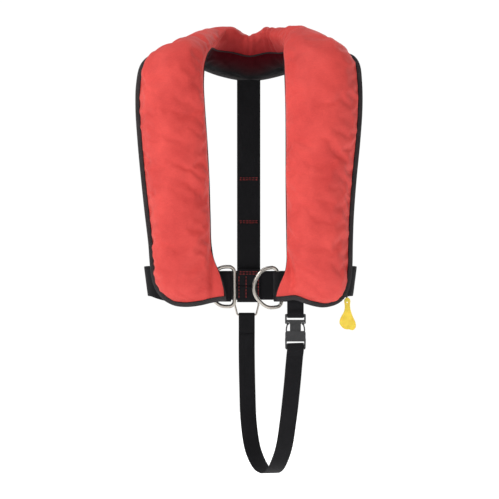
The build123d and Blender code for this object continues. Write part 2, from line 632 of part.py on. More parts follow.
def build():
    nodes = {}
    cord_line, radii = cord_path()
    for side, table in (("left", LEFT_LOBE), ("right", RIGHT_LOBE)):
        rows = lobe_stations(table)
        nodes[f"cover_{side}_lobe"] = front_wall(rows)
        nodes[f"lining_{side}_lobe"] = back_wall(rows)
    nodes["cover_right_lobe"] -= cord_clearance()
    nodes["lining_right_lobe"] -= cord_clearance()
    nodes["cover_collar"] = front_wall(collar_stations())
    nodes["lining_collar"] = back_wall(collar_stations())
    nodes["bladder"] = bladder()
    nodes["reflective_tapes"] = Compound(
        children=[bladder_tape(LEFT_LOBE), bladder_tape(RIGHT_LOBE)]
    )
    left_corner = [(-66, -352), (-88, -354.5), (-118, -352.5), (-133.5, -341)]
    right_corner = [(66, -352), (90, -354), (127, -352.5), (141.5, -341)]
    nodes["binding_left"] = lobe_binding(LEFT_LOBE, left_corner)
    nodes["binding_right"] = lobe_binding(RIGHT_LOBE, right_corner)
    nodes["binding_collar"] = collar_binding()
    nodes["closure_strip_left"] = closure_strip(LEFT_LOBE, 8, 0.09)
    nodes["closure_strip_right"] = closure_strip(RIGHT_LOBE, 8, 0.09)
    nodes["cover_corner_left"] = corner_flap(
        [(-55.6, -262), (-46, -300), (-38, -346), (-62, -346), (-58.6, -337), (-56.4, -316), (-55.6, -290)]
    )
    nodes["cover_corner_right"] = corner_flap(
        [(54.6, -290), (48, -311), (40, -346), (64, -346), (60.4, -337), (55.6, -316)]
    )

    nodes["waist_belt_left"] = waist_half(-1, LOOP_L_X, RING_L_Y, -67, -80, -88)
    nodes["waist_belt_right"] = waist_half(1, RING_R_X, RING_R_Y, 54, 75, 116)
    nodes["belt_keeper_left"] = belt_keeper(-106, -91)
    nodes["belt_keeper_right"] = belt_keeper(118, 128)
    nodes["belt_slider"] = belt_slider()
    nodes["back_sleeve"] = back_sleeve()
    nodes["back_strap_upper"], nodes["back_strap_lower"] = back_straps()

    nodes["d_ring_left"] = d_ring(RING_L_X, RING_L_Y, 180, 0)
    nodes["d_ring_right"] = d_ring(RING_R_X, RING_R_Y, 180 + RING_R_TILT, RING_R_LEAN)
    nodes["crotch_ring"] = crotch_ring()
    ring_top = CROTCH_TOP + 29.0
    nodes["crotch_ring_keeper"] = wrap(
        CROTCH_Y, ring_top, SMALL_WIRE / 2, 1.4, CROTCH_W, CROTCH_X, ring_top + 18, 1
    )
    nodes["crotch_strap_eye"] = wrap(
        CROTCH_Y, CROTCH_TOP, SMALL_WIRE / 2, 1.4, CROTCH_W, CROTCH_X, CROTCH_TOP - 8 + HAIR, -1
    )
    nodes["crotch_strap"] = crotch_strap()
    foot = BUCKLE_TOP - 52.9
    nodes["buckle_strap"] = bar_sleeve(BUCKLE_TOP - BUCKLE_BAR, BUCKLE_TOP, BUCKLE_TOP + 1.9, -347.5)
    tail_low = CROTCH_POINTS[-1][2] + HAIR
    nodes["crotch_strap_loop"] = bar_sleeve(foot, foot + SOCKET_BAR, tail_low, foot - 1.9)
    nodes["buckle_plug"] = buckle_plug()
    nodes["buckle_arm_left"] = buckle_arm(-1)
    nodes["buckle_arm_right"] = buckle_arm(1)
    nodes["buckle_socket"] = buckle_socket()

    nodes["inflator_body"] = inflator_body()
    nodes["firing_lever"] = firing_lever()
    nodes["lever_pivot_pin"] = rod((PIVOT_X, LEVER_Y - 7.5, HEAD_Z), (PIVOT_X, LEVER_Y + 5.5, HEAD_Z), 1.5)
    nodes["piercing_pin"] = piercing_pin()
    nodes["piercing_spring"] = piercing_spring()
    nodes["gas_cylinder"] = gas_cylinder()
    nodes["sensor_cap"] = sensor_cap()
    nodes["bladder_stem"], nodes["clamp_nut"] = stem_and_nut()
    nodes["oral_flange"], nodes["oral_tube"], nodes["oral_valve"], nodes["oral_cap"] = oral_parts()
    nodes["whistle"] = whistle()
    nodes["pull_cord"] = pipe(cord_line, CORD_D / 2)
    nodes["pull_toggle"] = pull_toggle()
    print("pull cord radii", [round(r, 1) for r in radii], "length", round(cord_line.length, 1))
    return nodes


def main():
    os.makedirs("parts", exist_ok=True)
    for name, shape in build().items():
        export_step(shape, os.path.join("parts", name + ".step"))


if __name__ == "__main__":
    main()
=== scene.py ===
"""Inflatable life jacket: fabric cover and lining, webbing harness, fittings and a studio, in metres."""
import json
import math

import bpy
import numpy as np
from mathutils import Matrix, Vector, noise


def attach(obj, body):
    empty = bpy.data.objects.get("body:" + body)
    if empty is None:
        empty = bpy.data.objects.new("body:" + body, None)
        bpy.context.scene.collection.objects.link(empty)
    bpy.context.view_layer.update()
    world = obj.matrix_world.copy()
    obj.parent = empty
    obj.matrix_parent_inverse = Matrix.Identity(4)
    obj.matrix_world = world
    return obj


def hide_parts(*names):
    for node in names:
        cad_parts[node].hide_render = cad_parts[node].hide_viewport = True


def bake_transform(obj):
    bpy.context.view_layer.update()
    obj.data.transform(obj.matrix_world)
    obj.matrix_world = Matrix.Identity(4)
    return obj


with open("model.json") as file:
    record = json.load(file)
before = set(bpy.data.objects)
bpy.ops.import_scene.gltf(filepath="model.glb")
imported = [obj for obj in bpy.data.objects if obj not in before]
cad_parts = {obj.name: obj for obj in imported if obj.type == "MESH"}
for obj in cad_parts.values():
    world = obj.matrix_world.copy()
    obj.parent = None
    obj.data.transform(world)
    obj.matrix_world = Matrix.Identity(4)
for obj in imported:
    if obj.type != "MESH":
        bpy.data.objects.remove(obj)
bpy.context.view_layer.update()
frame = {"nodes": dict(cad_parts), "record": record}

MM = 0.001
SEAM_Y = -150.0                # plane of the lobes' edge seams, mm
POWER = 2.5                    # superellipse power of a cover section
FRONT_CELLS, BACK_CELLS = 34, 22
SPINE_CELLS = 270


# ------------------------------------------------------------------ camera
def add_camera():
    data = bpy.data.cameras.new("camera")
    data.sensor_width = 36.0
    data.lens = 242.0
    data.dof.use_dof = False
    data.clip_end = 60.0
    camera = bpy.data.objects.new("camera", data)
    camera.location = (0.0003, -5.15, -0.2734)
    camera.rotation_euler = (math.radians(90), 0, 0)
    bpy.context.scene.collection.objects.link(camera)
    bpy.context.scene.camera = camera


add_camera()
bpy.context.scene.view_settings.view_transform = "Standard"


# ------------------------------------------------------------------ shader helpers
class Paint:
    """A node material: a Principled shader and a short way to add and link nodes."""

    def __init__(self, name, roughness=0.5, metallic=0.0, **settings):
        self.material = bpy.data.materials.new(name)
        self.material.use_nodes = True
        self.tree = self.material.node_tree
        self.shader = self.tree.nodes["Principled BSDF"]
        self.set(self.shader, Roughness=roughness, Metallic=metallic, **settings)

    def set(self, node, **values):
        for key, value in values.items():
            node.inputs[key.replace("_", " ")].default_value = value
        return node

    def node(self, kind, **settings):
        made = self.tree.nodes.new("ShaderNode" + kind)
        for key, value in settings.items():
            setattr(made, key, value)
        return made

    def link(self, source, target):
        self.tree.links.new(source, target)

    def coords(self, kind="UV", scale=1.0):
        """Texture coordinates in millimetres."""
        where = self.node("TexCoord")
        mapping = self.node("Mapping")
        mapping.inputs["Scale"].default_value = (1000 * scale,) * 3
        self.link(where.outputs[kind], mapping.inputs["Vector"])
        return mapping.outputs["Vector"]

    def noise(self, vector, size_mm, detail=3.0, roughness=0.5):
        made = self.node("TexNoise")
        self.set(made, Scale=1.0 / size_mm, Detail=detail, Roughness=roughness)
        self.link(vector, made.inputs["Vector"])
        return made.outputs["Fac"]

    def ribs(self, vector, pitch_mm, direction):
        """Sine ribs with the given pitch."""
        made = self.node("TexWave", wave_type="BANDS", bands_direction=direction, wave_profile="SIN")
        self.set(made, Scale=0.314159 / pitch_mm, Distortion=0.0)
        self.link(vector, made.inputs["Vector"])
        return made.outputs["Fac"]

    def math(self, operation, a, b=None):
        made = self.node("Math", operation=operation)
        for socket, value in zip(made.inputs, (a, b)):
            if value is None:
                continue
            if isinstance(value, (int, float)):
                socket.default_value = value
            else:
                self.link(value, socket)
        return made.outputs["Value"]

    def ramp(self, factor, stops):
        made = self.node("ValToRGB")
        while len(made.color_ramp.elements) < len(stops):
            made.color_ramp.elements.new(0.5)
        for element, (place, colour) in zip(made.color_ramp.elements, stops):
            element.position = place
            element.color = (*colour, 1.0)
        self.link(factor, made.inputs["Fac"])
        return made.outputs["Color"]

    def bump(self, height, distance_mm, strength=1.0, under=None):
        made = self.node("Bump")
        self.set(made, Strength=strength, Distance=distance_mm * MM)
        self.link(height, made.inputs["Height"])
        if under is not None:
            self.link(under, made.inputs["Normal"])
        return made.outputs["Normal"]

    def base(self, colour):
        self.link(colour, self.shader.inputs["Base Color"])

    def normal(self, normal):
        self.link(normal, self.shader.inputs["Normal"])


def woven(name, dark, light, pitch, roughness, sheen, crinkle, gloss=0.32, sheen_tint=(1, 1, 1), painted_shade_colour=None):
    """Plain-weave cloth: over-and-under yarns, slubs in both directions, slow colour drift, and optional
    painted shade that a point attribute mixes in.
    """
    p = Paint(name, roughness=roughness)
    p.set(p.shader, Sheen_Weight=sheen, Sheen_Roughness=0.45, Sheen_Tint=(*sheen_tint, 1.0))
    p.set(p.shader, Specular_IOR_Level=gloss)
    uv = p.coords("UV")
    body = p.coords("Object")
    warp = p.ribs(uv, pitch, "X")
    weft = p.ribs(uv, pitch, "Y")
    yarn = p.math("MULTIPLY", warp, weft)
    under = p.math("MULTIPLY", p.math("SUBTRACT", 1.0, warp), p.math("SUBTRACT", 1.0, weft))
    yarn = p.math("ADD", yarn, under)
    slub = p.node("Mapping")
    slub.inputs["Scale"].default_value = (0.12, 1.6, 1.0)
    p.link(uv, slub.inputs["Vector"])
    slubs = p.noise(slub.outputs["Vector"], 1.0, 2.0)
    drift = p.noise(body, 46.0, 4.0, 0.55)
    grain = p.noise(body, 1.7, 2.0, 0.6)
    shade = p.math("ADD", p.math("MULTIPLY", drift, 0.55), p.math("MULTIPLY", grain, 0.25))
    shade = p.math("ADD", shade, p.math("MULTIPLY", p.math("ADD", yarn, slubs), 0.12))
    colour = p.ramp(shade, [(0.28, dark), (0.74, light)])
    # Painted shade: a point attribute mixes the colour towards a dark shade colour and turns sheen and gloss
    # down in step.
    if painted_shade_colour:
        painted_shade = p.node("Attribute", attribute_name="painted_shade")
        shaded = p.node("MixRGB")
        shaded.inputs["Color2"].default_value = (*painted_shade_colour, 1.0)
        p.link(painted_shade.outputs["Fac"], shaded.inputs["Fac"])
        p.link(colour, shaded.inputs["Color1"])
        colour = shaded.outputs["Color"]
        unshaded = p.math("SUBTRACT", 1.0, painted_shade.outputs["Fac"])
        p.link(p.math("MULTIPLY", unshaded, sheen), p.shader.inputs["Sheen Weight"])
        p.link(p.math("MULTIPLY", unshaded, gloss), p.shader.inputs["Specular IOR Level"])
    p.base(colour)
    folds = p.bump(p.noise(body, 9.0, 4.0, 0.62), crinkle, 0.55)
    grains = p.bump(p.math("ADD", grain, slubs), 0.22, 0.5, folds)
    p.normal(p.bump(yarn, 0.13, 0.75, grains))
    rough = p.math("ADD", roughness - 0.07, p.math("MULTIPLY", grain, 0.14))
    p.link(rough, p.shader.inputs["Roughness"])
    return p.material


def webbing(name, dark, light, pitch=1.55):
    """Narrow woven webbing: rounded ribs across, fine yarns along, dusty wear on the high points."""
    p = Paint(name, roughness=0.72)
    p.set(p.shader, Specular_IOR_Level=0.16)
    uv = p.coords("UV")
    body = p.coords("Object")
    ribs = p.ribs(uv, pitch, "Y")
    yarns = p.ribs(uv, 1.1, "X")
    twill = p.ribs(uv, 1.9, "DIAGONAL")
    fine = p.math("MULTIPLY", p.math("MULTIPLY", yarns, twill), 0.4)
    high = p.math("ADD", p.math("MULTIPLY", ribs, 0.6), fine)
    fuzz = p.noise(body, 0.8, 2.0, 0.7)
    drift = p.noise(body, 30.0, 3.0)
    shade = p.math("ADD", p.math("MULTIPLY", high, 0.42), p.math("MULTIPLY", fuzz, 0.3))
    shade = p.math("ADD", shade, p.math("MULTIPLY", drift, 0.3))
    p.base(p.ramp(shade, [(0.3, dark), (0.82, light)]))
    p.normal(p.bump(high, 0.35, 0.8, p.bump(fuzz, 0.12, 0.5)))
    return p.material


def metal(name, colour, roughness, scratch=0.5):
    """Polished or drawn steel: faint lengthwise scratches and finger-dulled patches."""
    p = Paint(name, roughness=roughness, metallic=1.0)
    body = p.coords("Object")
    patches = p.noise(body, 14.0, 5.0, 0.6)
    fine = p.noise(body, 0.5, 2.0, 0.7)
    low = tuple(c * 0.72 for c in colour)
    shade = p.math("ADD", p.math("MULTIPLY", patches, 0.8), p.math("MULTIPLY", fine, 0.2))
    p.base(p.ramp(shade, [(0.3, low), (0.7, colour)]))
    p.link(p.math("ADD", roughness - 0.06, p.math("MULTIPLY", patches, 0.14)), p.shader.inputs["Roughness"])
    p.normal(p.bump(fine, 0.03 * scratch, 0.4))
    return p.material


def plastic(name, dark, light, roughness, grain_mm=0.6, depth=0.05, **settings):
    """Moulded plastic: a fine spark-eroded grain, slow gloss changes and a hint of wear."""
    p = Paint(name, roughness=roughness, **settings)
    body = p.coords("Object")
    grain = p.noise(body, grain_mm, 3.0, 0.6)
    drift = p.noise(body, 12.0, 4.0, 0.5)
    shade = p.math("ADD", p.math("MULTIPLY", drift, 0.7), p.math("MULTIPLY", grain, 0.3))
    p.base(p.ramp(shade, [(0.3, dark), (0.72, light)]))
    p.link(p.math("ADD", roughness - 0.08, p.math("MULTIPLY", drift, 0.16)), p.shader.inputs["Roughness"])
    p.normal(p.bump(grain, depth, 0.6))
    return p.material


# The red cover carries a painted shade colour, a deep shaded red, for the inside of the nape where shadow
# falls.
RED = woven(
    "cover_red", (0.46, 0.025, 0.023), (0.755, 0.079, 0.066), 0.85, 0.62, 0.12, 0.9, 0.3, (1.0, 0.55, 0.5),
    painted_shade_colour=(0.11, 0.0015, 0.005),
)
# The black lining carries a painted shade colour, a deep shaded red, where it meets the shadowed red cover
# inside the nape.
BLACK = woven(
    "lining_black", (0.003, 0.003, 0.004), (0.010, 0.0085, 0.0095), 0.8, 0.8, 0.0, 0.7, 0.1,
    painted_shade_colour=(0.045, 0.002, 0.004),
)
BINDING = webbing("binding_grey", (0.012, 0.011, 0.012), (0.075, 0.070, 0.072), 0.9)
WEBBING = webbing("webbing_black", (0.0012, 0.0012, 0.0018), (0.012, 0.0112, 0.0138))
THREAD_RED = plastic("thread_red", (0.22, 0.012, 0.012), (0.42, 0.03, 0.028), 0.65, 0.3, 0.05)
THREAD_DARK = plastic("thread_dark", (0.01, 0.01, 0.011), (0.05, 0.05, 0.052), 0.7, 0.3, 0.05)
COATED = woven("bladder_yellow", (0.62, 0.33, 0.01), (0.85, 0.55, 0.03), 0.8, 0.45, 0.05, 0.5)
MATERIALS = {
    "ring_steel": metal("ring_steel", (0.47, 0.435, 0.395), 0.24),
    "slider_steel": metal("slider_steel", (0.66, 0.66, 0.66), 0.34),
    "pin_steel": metal("pin_steel", (0.62, 0.62, 0.63), 0.3),
    "cylinder_steel": metal("cylinder_steel", (0.60, 0.61, 0.62), 0.33, 1.0),
    "stem_brass": metal("stem_brass", (0.78, 0.58, 0.27), 0.3),
    "buckle_plastic": plastic("buckle_plastic", (0.006, 0.006, 0.007), (0.022, 0.022, 0.024), 0.42),
    "inflator_plastic": plastic("inflator_plastic", (0.012, 0.012, 0.014), (0.04, 0.04, 0.044), 0.3),
    "tube_black": plastic("tube_black", (0.010, 0.010, 0.011), (0.03, 0.03, 0.032), 0.6),
    "lever_red": plastic("lever_red", (0.38, 0.02, 0.015), (0.55, 0.035, 0.03), 0.4),
    "whistle_orange": plastic("whistle_orange", (0.75, 0.16, 0.01), (0.95, 0.28, 0.02), 0.3),
    "toggle_yellow": plastic(
        "toggle_yellow", (0.66, 0.45, 0.022), (0.86, 0.68, 0.07), 0.36, 0.8, 0.05, Subsurface_Weight=0.15,
        Subsurface_Scale=0.004,
    ),
}
SLOT_OF = {row["node"]: row["material_slot"] for row in frame["record"]["subparts"]}


def paint_cad_nodes():
    for name, obj in frame["nodes"].items():
        material = MATERIALS.get(SLOT_OF[name])
        if material is None:
            continue
        obj.data.materials.clear()
        obj.data.materials.append(material)


paint_cad_nodes()


# ------------------------------------------------------------------ mesh helpers
def unit(v):
    """Unit vectors along the last axis."""
    return v / np.maximum(np.linalg.norm(v, axis=-1, keepdims=True), 1e-9)


def smooth_rows(rows, count):
    """Catmull-Rom through rows of numbers, evenly spaced by the distance between their first three."""
    rows = np.asarray(rows, float)
    gaps = np.linalg.norm(np.diff(rows[:, :3], axis=0), axis=1)
    place = np.concatenate([[0], np.cumsum(gaps)])
    slope = np.gradient(rows, place, axis=0)
    at = np.linspace(0, place[-1], count)
    k = np.clip(np.searchsorted(place, at, side="right") - 1, 0, len(rows) - 2)
    h = (place[k + 1] - place[k])[:, None]
    t = ((at - place[k]) / h[:, 0])[:, None]
    a = (1 + 2 * t) * (1 - t) ** 2
    b = t * (1 - t) ** 2
    c = t * t * (3 - 2 * t)
    d = t * t * (t - 1)
    return a * rows[k] + b * h * slope[k] + c * rows[k + 1] + d * h * slope[k + 1]


def rounded(points, radii, step=3.0):
    """A path through 3-D points, in mm, with an arc of the given radius at each inner point."""
    points = [np.asarray(p, float) for p in points]
    radii = [radii] * len(points) if isinstance(radii, (int, float)) else [0, *radii, 0]
    path = [points[0]]
    for before, here, after, radius in zip(points, points[1:], points[2:], radii[1:]):
        a, b = unit(before - here), unit(after - here)
        half = math.acos(np.clip(np.dot(a, b), -1, 1)) / 2
        shorter = min(np.linalg.norm(before - here), np.linalg.norm(after - here))
        setback = min(radius / math.tan(half), 0.49 * shorter)
        radius = setback * math.tan(half)
        centre = here + unit(a + b) * radius / math.sin(half)
        turn = math.pi - 2 * half
        count = max(int(turn * radius / step), 4)
        start, end = here + a * setback - centre, here + b * setback - centre
        for i in range(count + 1):
            t = i / count
            spoke = math.sin((1 - t) * turn) * start + math.sin(t * turn) * end
            path.append(centre + spoke / math.sin(turn))
    path.append(points[-1])
    return spaced(path, step)


def spaced(path, step):
    """The same path with points at even steps."""
    path = np.asarray(path, float)
    place = np.concatenate([[0], np.cumsum(np.linalg.norm(np.diff(path, axis=0), axis=1))])
    keep = np.concatenate([[True], np.diff(place) > 1e-6])
    at = np.linspace(0, place[-1], max(int(place[-1] / step) + 1, 3))
    return np.stack([np.interp(at, place[keep], path[keep, i]) for i in range(3)], axis=1)


def make_mesh(name, points, faces, uvs=None, smooth=True):
    """An object from points in mm, faces and one UV pair per point, in metres."""
    mesh = bpy.data.meshes.new(name)
    mesh.from_pydata((np.asarray(points, float) * MM).tolist(), [], faces)
    mesh.update()
    if uvs is not None:
        layer = mesh.uv_layers.new(name="UVMap")
        index = np.zeros(len(mesh.loops), int)
        mesh.loops.foreach_get("vertex_index", index)
        layer.data.foreach_set("uv", (np.asarray(uvs, float)[index] * MM).ravel())
    if smooth:
        mesh.polygons.foreach_set("use_smooth", [True] * len(mesh.polygons))
    obj = bpy.data.objects.new(name, mesh)
    bpy.context.scene.collection.objects.link(obj)
    return obj


def grid_faces(rows, columns, closed=False, flip=False):
    """Quads of a grid whose points are stored row by row; closed joins the last column to the first."""
    faces = []
    for i in range(rows - 1):
        for j in range(columns if closed else columns - 1):
            k = (j + 1) % columns
            quad = [i * columns + j, (i + 1) * columns + j, (i + 1) * columns + k, i * columns + k]
            faces.append(quad[::-1] if flip else quad)
    return faces


def finish_piece(obj, body, material, replaces=(), levels=0):
    """Material, slot, riding and the CAD nodes that the piece stands for."""
    obj.data.materials.append(material)
    if levels:
        modifier = obj.modifiers.new("subdivision", "SUBSURF")
        modifier.levels = modifier.render_levels = levels
        apply_modifiers(obj)
    if body is not None:
        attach(obj, body)
    if replaces:
        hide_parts(*replaces)
    return obj


def apply_modifiers(obj):
    graph = bpy.context.evaluated_depsgraph_get()
    mesh = bpy.data.meshes.new_from_object(obj.evaluated_get(graph))
    obj.modifiers.clear()
    old = obj.data
    obj.data = mesh
    bpy.data.meshes.remove(old)
    return obj


def ribbon(name, path, across, width, thickness, closed=False):
    """Webbing along a path, in mm: across is the direction of its width, at one or every point."""
    path = np.asarray(path, float)
    if closed:
        tangent = unit(np.roll(path, -1, 0) - np.roll(path, 1, 0))
    else:
        tangent = unit(np.gradient(path, axis=0))
    across = np.broadcast_to(np.asarray(across, float), path.shape)
    across = unit(across - tangent * np.sum(across * tangent, 1, keepdims=True))
    face = np.cross(tangent, across)
    half_w, half_t, lip = width / 2, thickness / 2, thickness * 0.45
    profile = []
    for s in np.linspace(-1, 1, 9):
        profile.append((s * (half_w - lip), half_t * (1 - 0.10 * s ** 8)))
    profile.append((half_w, 0.35 * half_t))
    profile.append((half_w, -0.35 * half_t))
    for s in np.linspace(1, -1, 9):
        profile.append((s * (half_w - lip), -half_t * (1 - 0.10 * s ** 8)))
    profile.append((-half_w, -0.35 * half_t))
    profile.append((-half_w, 0.35 * half_t))
    profile = np.array(profile)
    run = np.concatenate([[0], np.cumsum(np.linalg.norm(np.diff(path, axis=0), axis=1))])
    rows, columns = len(path), len(profile)
    points = path[:, None] + across[:, None] * profile[None, :, :1] + face[:, None] * profile[None, :, 1:]
    uvs = np.stack(np.broadcast_arrays(profile[None, :, 0] + half_w, run[:, None]), axis=-1)
    faces = grid_faces(rows, columns, closed=True, flip=True)
    if closed:
        last = (rows - 1) * columns
        for j in range(columns):
            k = (j + 1) % columns
            faces.append([k, j, last + j, last + k][::-1])
    else:
        faces.append(list(range(columns)))
        faces.append(list(range((rows - 1) * columns, rows * columns))[::-1])
    return make_mesh(name, points.reshape(-1, 3), faces, uvs.reshape(-1, 2))


def stitches(name, rows, normal, length=2.6, gap=1.6, radius=0.34):
    """Rows of thread stitches, each row a path in mm lying on a surface with the given normal."""
    points, faces = [], []
    for row in rows:
        row = spaced(row, length + gap)
        for a, b in zip(row, row[1:]):
            direction = unit(b - a)
            n = np.asarray(normal, float)
            side = unit(np.cross(direction, n))
            n = np.cross(side, direction)
            start, end = a + direction * gap / 2, b - direction * gap / 2
            first = len(points)
            for t, lift, fat in ((0, -0.2, 0.6), (0.25, 0.15, 1.0), (0.75, 0.15, 1.0), (1, -0.2, 0.6)):
                centre = start + (end - start) * t + n * lift
                for k in range(6):
                    angle = math.tau * k / 6
                    points.append(centre + (side * math.cos(angle) + n * math.sin(angle)) * radius * fat)
            for i in range(3):
                for k in range(6):
                    m = (k + 1) % 6
                    here = first + 6 * i
                    faces.append([here + k, here + m, here + 6 + m, here + 6 + k])
            faces.append([first + k for k in range(6)][::-1])
            faces.append([first + 18 + k for k in range(6)])
    return make_mesh(name, points, faces)


def tube(name, path, radius, sides=10):
    """A round tube along a path, in mm, closed at its ends."""
    path = np.asarray(path, float)
    tangent = unit(np.gradient(path, axis=0))
    normal = unit(np.cross(tangent[0], (0.3, 0.2, 0.9)))
    points = []
    for centre, t in zip(path, tangent):
        normal = unit(normal - t * np.dot(normal, t))
        other = np.cross(t, normal)
        for k in range(sides):
            angle = math.tau * k / sides
            points.append(centre + (normal * math.cos(angle) + other * math.sin(angle)) * radius)
    faces = grid_faces(len(path), sides, closed=True)
    faces.append(list(range(sides))[::-1])
    faces.append(list(range((len(path) - 1) * sides, len(path) * sides)))
    return make_mesh(name, points, faces)


# ------------------------------------------------------------------ the horseshoe
# Outer edge x and z, inner edge x and z, where the dome ends across the chord, share of full depth.
LEFT_LOBE = [
    (-107, -351, -35, -343, 0.62, 0.05),
    (-121, -345.5, -37, -334, 0.74, 0.34),
    (-132.5, -333, -40.5, -321, 0.80, 0.56),
    (-139, -316, -46.5, -305, 0.86, 0.74),
    (-141.5, -296, -53, -290, 0.93, 0.88),
    (-143.5, -268, -57, -268, 1.0, 0.97),
    (-148.5, -225, -58.6, -225, 1.0, 1.0),
    (-154.5, -170, -60.3, -170, 1.0, 1.0),
    (-160, -110, -63.5, -110, 1.0, 1.0),
    (-163, -60, -67, -60, 1.0, 1.0),
    (-162, -27, -68.6, -25, 1.0, 0.97),
]
RIGHT_LOBE = [
    (110, -353.5, 39, -344, 0.62, 0.05),
    (125, -350.5, 42, -335, 0.74, 0.34),
    (137, -342, 47.5, -322, 0.80, 0.56),
    (144, -325, 53.5, -308, 0.86, 0.74),
    (146.8, -302, 56.2, -292, 0.93, 0.88),
    (147.5, -270, 56.2, -268, 1.0, 0.97),
    (149, -225, 55.6, -225, 1.0, 1.0),
    (153, -170, 55, -170, 1.0, 1.0),
    (158.8, -110, 55, -110, 1.0, 1.0),
    (162, -60, 54.6, -60, 1.0, 1.0),
    (161.5, -27, 53.6, -25, 1.0, 0.97),
]
# Outer edge, inner edge, direction the cover faces, depth in front and behind, and where the lining
# starts in degrees.
LEFT_COLLAR = [
    ((-156, -143, 1), (-66.5, -138, 5), (-0.05, -0.86, 0.5), 28, 14, 0),
    ((-144, -132, 14), (-62, -122, 22), (-0.12, -0.66, 0.74), 22, 14, -8),
    ((-125, -112, 20), (-56, -100, 38), (-0.22, -0.4, 0.88), 14, 14, -30),
    ((-106, -68, 19), (-50, -73, 51), (-0.36, 0.1, 0.92), 13, 14, -62),
    ((-80, -15, 12), (-39, -45, 61), (-0.36, 0.42, 0.82), 18, 13, -84),
    ((-43, 14, -1), (-21, -30, 63), (-0.18, 0.65, 0.74), 17, 12, -84),
]
NAPE = ((0, 25, -8), (0, -24, 52.5), (0, 0.75, 0.66), 18, 12, -78)
RIGHT_COLLAR = [
    ((158, -143, 3), (52.5, -138, 5), (0.05, -0.86, 0.5), 28, 14, 0),
    ((150, -130, 15), (52, -122, 21), (0.12, -0.6, 0.79), 25, 14, -8),
    ((134, -108, 22), (52, -100, 41), (0.18, -0.32, 0.93), 19, 14, -30),
    ((112, -66, 20), (49, -73, 52), (0.3, 0.1, 0.94), 19, 14, -62),
    ((83, -15, 12), (38, -45, 56), (0.34, 0.42, 0.83), 19, 13, -84),
    ((44, 14, -1), (21, -30, 62), (0.18, 0.65, 0.74), 17, 12, -84),
]
DOME, BACK = 32.0, 13.5        # full depth of a lobe in front of and behind its seam


def station_rows():
    """One row per section: outer edge, inner edge, facing, depths, dome share and lining angle."""
    def lobe(table):
        return [
            (xo, SEAM_Y, zo, xi, SEAM_Y, zi, 0, -1, 0, DOME * share, BACK * share, core, 0)
            for xo, zo, xi, zi, core, share in table
        ]

    def collar(table):
        return [
            (*out, *inner, *facing, front, back, 1.0, angle)
            for out, inner, facing, front, back, angle in table
        ]

    round_neck = collar(LEFT_COLLAR) + collar([NAPE]) + collar(RIGHT_COLLAR[::-1])
    return lobe(LEFT_LOBE) + round_neck + lobe(RIGHT_LOBE[::-1])


class Horseshoe:
    """The cover's surface as a grid: rows along the spine, columns round the section."""

    def __init__(self, spine=SPINE_CELLS, front=FRONT_CELLS, back=BACK_CELLS, inset=0.0):
        rows = np.array(station_rows(), float)
        middle = (rows[:, :3] + rows[:, 3:6]) / 2
        rows = smooth_rows(np.hstack([middle, rows]), spine)[:, 3:]
        self.outer, self.inner = rows[:, :3], rows[:, 3:6]
        self.front_cells, self.back_cells = front, back
        self.across = unit(self.inner - self.outer)
        facing = rows[:, 6:9]
        self.facing = unit(facing - self.across * np.sum(facing * self.across, 1, keepdims=True))
        half = np.linalg.norm(self.inner - self.outer, axis=1) / 2
        self.half = half - inset
        self.mid = (self.outer + self.inner) / 2
        self.depth_front = np.maximum(rows[:, 9] - inset, 0.4)
        self.depth_back = np.maximum(rows[:, 10] - inset, 0.4)
        self.core = np.clip(rows[:, 11], 0.5, 1.0)
        self.turn = np.radians(rows[:, 12])
        steps = np.linalg.norm(np.diff(self.mid, axis=0), axis=1)
        self.run = np.concatenate([[0], np.cumsum(steps)])

    def points(self):
        """Grid of points: column 0 is the outer seam, column front_cells the inner seam."""
        columns = self.front_cells + self.back_cells
        grid = np.zeros((len(self.run), columns, 3))
        for j in range(columns):
            if j <= self.front_cells:
                angle = math.pi + (self.turn - math.pi) * j / self.front_cells
            else:
                angle = self.turn + (-math.pi - self.turn) * (j - self.front_cells) / self.back_cells
            grid[:, j] = self.at(angle)
        return grid

    def flat(self):
        """True on the flared corners, where cover and lining lie together."""
        fronts = np.arange(self.front_cells + self.back_cells)
        before = 1 - fronts / self.front_cells
        behind = (fronts - self.front_cells) / self.back_cells
        angle = np.where(fronts <= self.front_cells, before, behind)
        c = np.cos(math.pi * angle)
        u = np.sign(c) * np.abs(c) ** (2 / POWER)
        return (u[None, :] + 1) / 2 > self.core[:, None] - 0.02

    def at(self, angle):
        c, s = np.cos(angle), np.sin(angle)
        u = np.sign(c) * np.abs(c) ** (2 / POWER)
        share = np.clip((u + 1) / 2 / self.core, 0, 1)
        rise = np.maximum(1 - np.abs(2 * share - 1) ** POWER, 0) ** (1 / POWER)
        rise = np.where(np.abs(s) < 1e-6, 0, rise)
        depth = np.where(s >= 0, self.depth_front, -self.depth_back)
        thin = np.sign(s) * 1.7 * np.abs(s) ** (2 / POWER)
        height = depth * rise + thin
        return self.mid + self.across * (self.half * u)[:, None] + self.facing * height[:, None]


